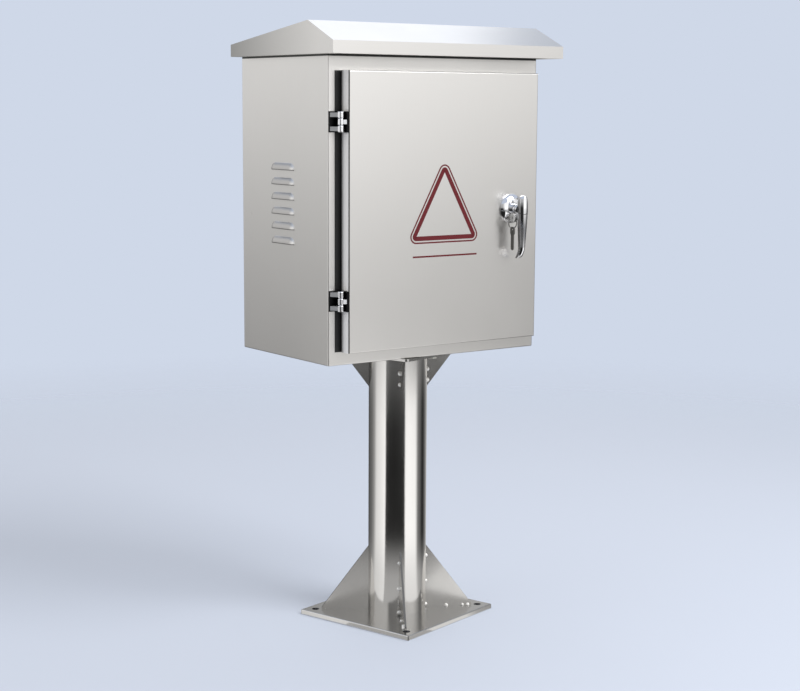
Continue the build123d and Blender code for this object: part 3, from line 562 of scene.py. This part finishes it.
def hoodEndShade(name):
    tree = finish[name].node_tree
    low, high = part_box("rain_hood")
    backward = between(tree, axes(tree)[1], low.y + hoodEndShading["fromMm"] * mm, high.y)
    blend(name, product(tree, backward, sideways(tree)), {"Base Color": linear(hoodEndShading["colour"])})


cutEdges = {  # the gussets' sloping edges are as the guillotine left them: dull and dark
    "colour": "#6c6b69",
    "roughness": 0.55,
}


def gussetSheet():
    tree = copyFinish("millStainlessPlate", "cutGussetPlate")
    sloped = between(tree, axes(tree, "Normal")[2], *slightly, bothWays=True)
    values = {"Base Color": linear(cutEdges["colour"]), "Roughness": cutEdges["roughness"]}
    blend("cutGussetPlate", sloped, values)


def plateSheet(name):
    tree = finish[name].node_tree
    # Painted shade on the plate's top
    up = between(tree, axes(tree, "Normal")[2], *squarely)
    blend(name, up, {"Base Color": linear(plate["top"])})
    place = addNode(tree, "ShaderNodeTexCoord").outputs["Object"]
    straight = addNode(tree, "ShaderNodeVectorRotate", {"rotation_type": "Z_AXIS"}, {"Angle": -plate["turn"]},
                       {"Vector": place})
    x, y, _ = addNode(tree, "ShaderNodeSeparateXYZ", links={0: straight.outputs[0]}).outputs
    edge = plateHalf() - plate["seamMm"] * mm
    fade = plate["seamFadeMm"] * mm
    seam = product(tree, *[between(tree, axis, edge - fade, edge, bothWays=True) for axis in (x, y)])
    blend(name, seam, {"Base Color": linear(plate["seam"]), "Roughness": plate["seamRoughness"]})


doorSheet()
paintBendReflection("paintedSideDoorSheet", "door_panel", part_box("door_panel")[0].y)
paintBendReflection("satinStainlessSheet", "enclosure_shell", boxFront)
paintFrameShade("satinStainlessSheet")
louvreShade("satinStainlessSheet")
hoodEndShade("satinHoodSheet")
gussetSheet()
plateSheet("millStainlessPlate")
print("stage: sheets finished")


plastics = {
    "greyBreakerCase": {  # moulded polyamide, fine matt texture
        "colour": "#d6d6d0", "roughness": 0.42, "sheen": 0.0,
    },
    "blueToggle": {  # moulded, smoother where fingers go
        "colour": "#1c3f78", "roughness": 0.28, "sheen": 0.0,
    },
    "blueStandoff": {  # moulded with glass fibre, a dull even skin
        "colour": "#2f5f9e", "roughness": 0.4, "sheen": 0.0,
    },
    "blackSealFoam": {  # foamed polyurethane, open skin
        "colour": "#161617", "roughness": 0.85, "sheen": 0.2,
    },
    "blackGrommetRubber": {  # moulded rubber, matt from handling
        "colour": "#141414", "roughness": 0.6, "sheen": 0.1,
    },
}
plasticMix = {
    "gritMm": 0.8,
    "darkest": 0.88,  # of the colour, at the top of the noise
    "dent": 0.15,
    "reliefMm": 0.05,
}


def plastic(name):
    spec = plastics[name]
    material, tree, shader, place = newMaterial(name)
    values = {"Scale": 1 / (plasticMix["gritMm"] * mm), "Detail": 2.0}
    grit = addNode(tree, "ShaderNodeTexNoise", values=values, links={"Vector": place}).outputs["Fac"]
    values = {"Strength": plasticMix["dent"], "Distance": plasticMix["reliefMm"] * mm}
    bump = addNode(tree, "ShaderNodeBump", values=values, links={"Height": grit})
    tree.links.new(shadedBy(tree, grit, spec["colour"], plasticMix["darkest"]), shader.inputs["Base Color"])
    tree.links.new(bump.outputs["Normal"], shader.inputs["Normal"])
    shader.inputs["Roughness"].default_value = spec["roughness"]
    shader.inputs["Sheen Weight"].default_value = spec["sheen"]
    return material


finish.update({name: plastic(name) for name in plastics})


hinges = {
    "leaf": "#1b1b1c",  # black
    "leafRoughness": 0.35,
    "leafMm": 3,  # thickness
    "slackMm": 0.05,  # so that the leaf's own face is black too
    "chromeRoughness": (0.16, 0.24),
    "gritMm": 3,
    "frameArmHighlight": "#9c9c9c",  # painted highlights on the arms that carry the knuckles, light where they leave the pin
    "doorArmHighlight": "#f4f4f4",
    "armRoughness": 0.3,
    "armMetallic": 0.2,
    "armFromMm": 5.1,  # from the pin's axis
    "fadeMm": 0.5,
}


def distance(tree, place, counted, centre):
    # How far a place lies from the centre, along the axes that are counted with 1
    values = {1: counted, 2: [-value * share for value, share in zip(centre, counted)]}
    flat = addNode(tree, "ShaderNodeVectorMath", {"operation": "MULTIPLY_ADD"}, values, {0: place})
    away = addNode(tree, "ShaderNodeVectorMath", {"operation": "LENGTH"}, links={0: flat.outputs[0]})
    return away.outputs["Value"]


def hingeMetal(name, axis, face, armHighlight):
    # Chrome arms, with painted highlights, on a black leaf that lies on this face, counted along the axis
    material, tree, shader, place = newMaterial(name)
    finish[name] = material
    edge = face - (hinges["leafMm"] + hinges["slackMm"]) * mm
    split = addNode(tree, "ShaderNodeSeparateXYZ", links={0: place})
    leaf = addNode(tree, "ShaderNodeMath", {"operation": "GREATER_THAN"}, {1: edge},
                   {0: split.outputs[axis]}).outputs[0]
    values = {6: linear(metals["castChrome"]["colour"]), 7: linear(hinges["leaf"])}
    tone = addNode(tree, "ShaderNodeMix", {"data_type": "RGBA"}, values, {0: leaf})
    tree.links.new(tone.outputs[2], shader.inputs["Base Color"])
    grit = addNode(tree, "ShaderNodeTexNoise", values={"Scale": 1 / (hinges["gritMm"] * mm)},
                   links={"Vector": place})
    smoothest, dullest = hinges["chromeRoughness"]
    values = {"To Min": smoothest, "To Max": dullest}
    gloss = addNode(tree, "ShaderNodeMapRange", values=values, links={"Value": grit.outputs["Fac"]})
    rough = addNode(tree, "ShaderNodeMix", {"data_type": "FLOAT"}, {3: hinges["leafRoughness"]},
                    {0: leaf, 2: gloss.outputs[0]})
    tree.links.new(rough.outputs[0], shader.inputs["Roughness"])
    shader.inputs["Metallic"].default_value = 1.0
    low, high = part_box("lower_hinge_pin")
    away = distance(tree, place, (1, 1, 0), (low + high) / 2)
    start = hinges["armFromMm"] * mm
    onArm = addNode(tree, "ShaderNodeMath", {"operation": "SUBTRACT", "use_clamp": True},
                    links={0: between(tree, away, start, start + hinges["fadeMm"] * mm), 1: leaf})
    # Painted highlight on the arms
    values = {"Metallic": hinges["armMetallic"], "Roughness": hinges["armRoughness"]}
    blend(name, onArm.outputs[0], {"Base Color": linear(armHighlight), **values})


hingeMetal("chromeFrameHinge", "Y", boxFront, hinges["frameArmHighlight"])
hingeMetal("chromeDoorHinge", "X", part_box("door_panel")[0].x, hinges["doorArmHighlight"])

wearers = {  # the finish, and what it is on
    "satinStainlessSheet": ["enclosure_shell"],
    "paintedSideDoorSheet": ["door_panel"],
    "satinHoodSheet": ["rain_hood"],
    "polishedStainlessTube": ["post_tube"],
    "millStainlessPlate": ["base_plate", "top_plate"],
    "cutGussetPlate": [name for name in nodes if "gusset" in name],
    "chromeFrameHinge": ["lower_frame_leaf", "upper_frame_leaf"],
    "chromeDoorHinge": ["lower_door_leaf", "upper_door_leaf"],
    "turnedPinSteel": ["lower_hinge_pin", "upper_hinge_pin", "lock_spindle", "key_plug"],
    "castChrome": ["lock_base", "lock_handle"],
    "nickelKeySteel": ["key_ring", "spare_key"],
    "brightNickelKey": ["key"],
    "zincPlatedSteel": [
        "post_bolts", "post_washers", "post_nuts", "frame_leaf_nuts", "door_leaf_nuts", "mounting_studs",
        "mounting_nuts", "rail_screws", "cam_screw", "lock_nut", "lock_cam", "terminal_screws",
    ],
    "galvanisedSheet": ["mounting_plate", "din_rail"],
    "greyBreakerCase": ["main_breaker"] + [f"branch_breaker_{i}" for i in range(1, 5)],
    "blueToggle": ["main_toggle"] + [f"branch_toggle_{i}" for i in range(1, 5)],
    "sawnBrass": ["neutral_bar", "earth_bar"],
    "blueStandoff": ["bar_standoffs"],
    "blackSealFoam": ["door_seal"],
    "blackGrommetRubber": ["cable_grommet"],
}
for name, pieces in wearers.items():
    dress(finish[name], *pieces)
print("stage: finishes on")


# The lock's lever as it was cast and polished: straight sides, one broad chamfer to each, a softly domed face
lever = {
    "stations": (  # height above the pivot, half width, and back and front from the lever's back plane, in mm
        (21.6, 0.9, 4.6, 7.6), (20.9, 3.2, 3.0, 9.3), (19.2, 5.2, 1.6, 10.6), (16.0, 6.8, 0.5, 11.5),
        (10.0, 7.7, 0.0, 12.0), (0.0, 7.8, 0.0, 12.2), (-20.0, 7.0, 0.0, 11.6), (-40.0, 5.9, 0.0, 10.4),
        (-58.0, 4.8, 0.0, 9.0), (-65.0, 4.4, -0.6, 8.0), (-71.0, 4.3, -3.2, 5.4), (-75.5, 4.1, -6.0, 2.0),
        (-78.2, 3.6, -8.2, -2.6),
    ),
    "section": (  # half of the width is 1, and back to front is 1
        (-0.93, 0.0), (-0.985, 0.03), (-1.0, 0.09), (-1.0, 0.25), (-1.0, 0.42), (-0.997, 0.53),
        (-0.975, 0.595), (-0.92, 0.64), (-0.82, 0.695), (-0.69, 0.765), (-0.56, 0.835), (-0.47, 0.883),
        (-0.39, 0.917), (-0.28, 0.95), (-0.14, 0.98), (0.13, 1.0), (0.33, 0.988), (0.53, 0.95),
        (0.7, 0.9), (0.84, 0.81), (0.94, 0.69), (0.985, 0.57), (1.0, 0.42), (1.0, 0.25),
        (1.0, 0.09), (0.985, 0.03), (0.93, 0.0),
    ),
    "rows": 90,
    "standOffMm": 21.5,  # the back plane, in front of the door
    "shiftMm": 2.2,  # towards the free side of the door
    "neck": {"radiusMm": 8.0, "lengthMm": 8.2, "insideMm": 1, "sides": 48},
    "seam": {  # the curved joint line below the pivot
        "colour": "#151515", "roughness": 0.6, "radiusMm": 8.0, "widthMm": 0.6, "fadeMm": 0.2,
        "belowMm": (0, 1),  # where it starts under the pivot, and where it is in full
        "forwardMm": (4.5, 5.0),  # the same, ahead of the back plane
    },
}


def along(stations, height):
    # A smooth curve through the stations
    for i in range(len(stations) - 1):
        upper, lower = stations[i], stations[i + 1]
        if height >= lower[0]:
            break
    before, after = stations[max(i - 1, 0)], stations[min(i + 2, len(stations) - 1)]
    span = lower[0] - upper[0]
    t = (height - upper[0]) / span
    values = []
    for k in range(1, len(upper)):
        enter = (lower[k] - before[k]) / (lower[0] - before[0]) * span
        leave = (after[k] - upper[k]) / (after[0] - upper[0]) * span
        values.append((2 * t ** 3 - 3 * t ** 2 + 1) * upper[k] + (t ** 3 - 2 * t ** 2 + t) * enter
                      + (3 * t ** 2 - 2 * t ** 3) * lower[k] + (t ** 3 - t ** 2) * leave)
    return values


def leverMesh(x, z, plane):
    # The lever's skin and its neck, about the pivot at x and z
    stations, section = lever["stations"], lever["section"]
    count = len(section)
    vertices, faces = [], []
    top, bottom = stations[0][0], stations[-1][0]
    for row in range(lever["rows"] + 1):
        share = (1 - math.cos(math.pi * row / lever["rows"])) / 2
        height = top + (bottom - top) * share
        half, back, front = along(stations, height)
        for across, deep in section:
            vertices.append((x + (lever["shiftMm"] + across * half) * mm,
                             plane - (back + (front - back) * deep) * mm, z + height * mm))
        if row:
            a, b = (row - 1) * count, row * count
            faces += [(a + i, b + i, b + (i + 1) % count, a + (i + 1) % count) for i in range(count)]
    faces.append(tuple(range(count)))
    faces.append(tuple(reversed(range(len(vertices) - count, len(vertices)))))
    neck = lever["neck"]
    first, sides, radius = len(vertices), neck["sides"], neck["radiusMm"] * mm
    for y in (plane - neck["insideMm"] * mm, plane + neck["lengthMm"] * mm):
        for i in range(sides):
            angle = math.tau * i / sides
            vertices.append((x + radius * math.cos(angle), y, z + radius * math.sin(angle)))
    faces += [(first + i, first + (i + 1) % sides, first + sides + (i + 1) % sides, first + sides + i)
              for i in range(sides)]
    faces.append(tuple(first + i for i in reversed(range(sides))))
    faces.append(tuple(first + sides + i for i in range(sides)))
    return vertices, faces


def leverMetal(x, z, plane):
    seam = lever["seam"]
    tree = copyFinish("castChrome", "chromeLever")
    place = addNode(tree, "ShaderNodeTexCoord").outputs["Object"]
    away = distance(tree, place, (1, 0, 1), (x, 0, z))
    _, y, height = axes(tree)
    ring, half, fade = seam["radiusMm"] * mm, seam["widthMm"] / 2 * mm, seam["fadeMm"] * mm
    inner, outer = ring - half, ring + half
    mask = product(tree, between(tree, away, inner - fade, inner), between(tree, away, outer + fade, outer),
                   between(tree, height, *[z - limit * mm for limit in seam["belowMm"]]),
                   between(tree, y, *[plane - limit * mm for limit in seam["forwardMm"]]))
    blend("chromeLever", mask, {"Base Color": linear(seam["colour"]), "Roughness": seam["roughness"]})
    return finish["chromeLever"]


def makeLever():
    low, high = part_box("lock_spindle")
    x, z = (low.x + high.x) / 2, (low.z + high.z) / 2
    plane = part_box("door_panel")[0].y - lever["standOffMm"] * mm
    piece = meshPiece("cast_lever", *leverMesh(x, z, plane))
    for polygon in piece.data.polygons:
        polygon.use_smooth = len(polygon.vertices) == 4
    piece.data.materials.append(leverMetal(x, z, plane))
    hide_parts("lock_handle")
    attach(piece, "handle")


makeLever()
print("stage: lever cast")


# The printed sign: a thin and a thick rounded triangle, and a bar below it
sign = {
    "baseMm": 108,  # core triangle, which the rings grow out of
    "riseMm": 99,
    "footMm": 191,  # above the box's floor
    "middleMm": 0,
    "rings": ((10.9, 8.6), (6.4, -0.6)),  # outer and inner distance from the core triangle
    "bar": {"fromMm": -60, "toMm": 64, "heightMm": 160, "widthMm": 2.6},
    "gapMm": 0.02,  # behind the film
    "filmMm": 0.12,
    "arcSteps": 10,
    "colour": "#640f19",
    "darkest": 0.85,  # of the colour, at the top of the noise
    "gritMm": 1.5,
    "roughness": 0.5,
    "specular": 0.3,
}


def roundedTriangle(outside):
    # Points at one distance outside the core triangle, with round corners, anticlockwise from the front
    half, rise, steps = sign["baseMm"] / 2, sign["riseMm"], sign["arcSteps"]
    corners = [Vector((-half, 0)), Vector((half, 0)), Vector((0, rise))]
    points = []
    for i, corner in enumerate(corners):
        before = (corner - corners[i - 1]).normalized()
        after = (corners[(i + 1) % 3] - corner).normalized()
        start = math.atan2(-before.x, before.y)
        turn = abs(before.angle_signed(after))
        for step in range(steps + 1):
            angle = start + turn * step / steps
            points.append(corner + outside * Vector((math.cos(angle), math.sin(angle))))
    return points


def signMesh():
    # Four loops of points for each ring of the triangle, then the bar's eight corners
    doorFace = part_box("door_panel")[0].y
    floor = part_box("enclosure_shell")[0].z
    back = doorFace - sign["gapMm"] * mm
    front = back - sign["filmMm"] * mm
    vertices, faces = [], []
    for outer, inner in sign["rings"]:
        loops = [roundedTriangle(outer), roundedTriangle(inner)]
        count, first = len(loops[0]), len(vertices)
        for loop, y in ((loops[0], front), (loops[1], front), (loops[1], back), (loops[0], back)):
            vertices += [((sign["middleMm"] + x) * mm, y, floor + (sign["footMm"] + z) * mm) for x, z in loop]
        for ring in range(4):
            a, b = first + ring * count, first + (ring + 1) % 4 * count
            faces += [(a + i, a + (i + 1) % count, b + (i + 1) % count, b + i) for i in range(count)]
    bar = sign["bar"]
    low, high = bar["heightMm"] - bar["widthMm"] / 2, bar["heightMm"] + bar["widthMm"] / 2
    first = len(vertices)
    for y in (front, back):
        for x, z in ((bar["fromMm"], low), (bar["toMm"], low), (bar["toMm"], high), (bar["fromMm"], high)):
            vertices.append((x * mm, y, floor + z * mm))
    faces.append(tuple(first + i for i in (0, 1, 2, 3)))
    faces.append(tuple(first + i for i in (7, 6, 5, 4)))
    faces += [tuple(first + k for k in (i, i + 4, (i + 1) % 4 + 4, (i + 1) % 4)) for i in range(4)]
    return vertices, faces


def makeSign():
    piece = meshPiece("door_sign", *signMesh())
    material, tree, shader, place = newMaterial("redScreenInk")  # baked screen ink, slightly glossy
    grit = addNode(tree, "ShaderNodeTexNoise", values={"Scale": 1 / (sign["gritMm"] * mm)},
                   links={"Vector": place})
    tone = shadedBy(tree, grit.outputs["Fac"], sign["colour"], sign["darkest"])
    tree.links.new(tone, shader.inputs["Base Color"])
    shader.inputs["Roughness"].default_value = sign["roughness"]
    shader.inputs["Specular IOR Level"].default_value = sign["specular"]
    piece.data.materials.append(material)
    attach(piece, "door")


makeSign()
print("stage: sign printed")


# Tack welds, on the side of each gusset that lies clockwise seen from above
tacks = {
    "beadRadiusMm": 3.0,
    "spread": 0.22,  # how much the beads' sizes differ
    "detail": 4,
    "lumpDepthMm": 1.0,  # from the lowest to the highest parts of the uneven skin
    "lumpsPerMm": 0.42,
    "seed": 7,
    "besideMm": 2.1,  # from the gusset's middle plane
    "proudMm": 0.4,  # of the post, the foot plate and the top plate
    "footHeightsMm": (87, 44, 4),
    "footReachMm": (35, 62, 71),
    "topDropsMm": (4, 30, 48),
    "topReachMm": (22, 35),
}


def tackPoints():
    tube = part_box("post_tube")[1].x
    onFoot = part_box("base_plate")[1].z
    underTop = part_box("top_plate")[0].z
    proud = tacks["proudMm"] * mm
    points = []
    for number in range(1, 5):
        low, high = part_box(f"base_gusset_{number}")
        middle = (low + high) / 2
        out = Vector((middle.x, middle.y, 0)).normalized()
        side = Vector((out.y, -out.x, 0)) * tacks["besideMm"] * mm
        for height in tacks["footHeightsMm"]:
            points.append(out * (tube + proud) + side + Vector((0, 0, onFoot + height * mm)))
        for reach in tacks["footReachMm"]:
            points.append(out * (tube + reach * mm) + side + Vector((0, 0, onFoot + proud)))
        for drop in tacks["topDropsMm"]:
            points.append(out * (tube + proud) + side + Vector((0, 0, underTop - drop * mm)))
        for reach in tacks["topReachMm"]:
            points.append(out * (tube + reach * mm) + side + Vector((0, 0, underTop - proud)))
    return points


def tackTree(material):
    # One bead on each point, each with its own size and an uneven skin
    tree = bpy.data.node_groups.new("tackWelds", "GeometryNodeTree")
    sockets = {}
    for name, kind in (("Geometry", "Geometry"), ("Bead Radius", "Float"), ("Spread", "Float"),
                       ("Lump Depth", "Float"), ("Seed", "Int")):
        socket = tree.interface.new_socket(name, in_out="INPUT", socket_type="NodeSocket" + kind)
        sockets[name] = socket.identifier
    tree.interface.new_socket("Geometry", in_out="OUTPUT", socket_type="NodeSocketGeometry")
    given = addNode(tree, "NodeGroupInput").outputs
    ball = addNode(tree, "GeometryNodeMeshIcoSphere", values={"Subdivisions": tacks["detail"]},
                   links={"Radius": given["Bead Radius"]})
    least = addNode(tree, "ShaderNodeMath", {"operation": "SUBTRACT"}, {0: 1.0}, {1: given["Spread"]})
    most = addNode(tree, "ShaderNodeMath", {"operation": "ADD"}, {0: 1.0}, {1: given["Spread"]})
    size = addNode(tree, "FunctionNodeRandomValue", {"data_type": "FLOAT"},
                   links={2: least.outputs[0], 3: most.outputs[0], "Seed": given["Seed"]})
    links = {"Points": given["Geometry"], "Instance": ball.outputs["Mesh"], "Scale": size.outputs[1]}
    beads = addNode(tree, "GeometryNodeInstanceOnPoints", links=links)
    real = addNode(tree, "GeometryNodeRealizeInstances", links={"Geometry": beads.outputs["Instances"]})
    lumps = addNode(tree, "ShaderNodeTexNoise", values={"Scale": tacks["lumpsPerMm"] / mm, "Detail": 1.0})
    level = addNode(tree, "ShaderNodeMath", {"operation": "SUBTRACT"}, {1: 0.5}, {0: lumps.outputs["Fac"]})
    depth = addNode(tree, "ShaderNodeMath", {"operation": "MULTIPLY"},
                    links={0: level.outputs[0], 1: given["Lump Depth"]})
    normal = addNode(tree, "GeometryNodeInputNormal")
    offset = addNode(tree, "ShaderNodeVectorMath", {"operation": "SCALE"},
                     links={0: normal.outputs[0], "Scale": depth.outputs[0]})
    uneven = addNode(tree, "GeometryNodeSetPosition",
                     links={"Geometry": real.outputs[0], "Offset": offset.outputs[0]})
    smooth = addNode(tree, "GeometryNodeSetShadeSmooth", links={0: uneven.outputs[0]})
    painted = addNode(tree, "GeometryNodeSetMaterial", values={"Material": material},
                      links={"Geometry": smooth.outputs[0]})
    addNode(tree, "NodeGroupOutput", links={"Geometry": painted.outputs[0]})
    return tree, sockets


def makeTacks():
    tree, sockets = tackTree(finish["tackWeldSteel"])
    piece = meshPiece("weld_tacks", tackPoints(), [])
    maker = piece.modifiers.new("tackWelds", "NODES")
    maker.node_group = tree
    maker[sockets["Bead Radius"]] = tacks["beadRadiusMm"] * mm
    maker[sockets["Spread"]] = tacks["spread"]
    maker[sockets["Lump Depth"]] = tacks["lumpDepthMm"] * mm
    maker[sockets["Seed"]] = tacks["seed"]
    made = bpy.data.meshes.new_from_object(piece.evaluated_get(bpy.context.evaluated_depsgraph_get()))
    piece.modifiers.clear()
    piece.data = made
    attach(piece, "cabinet")


makeTacks()
print("stage: gussets tacked")
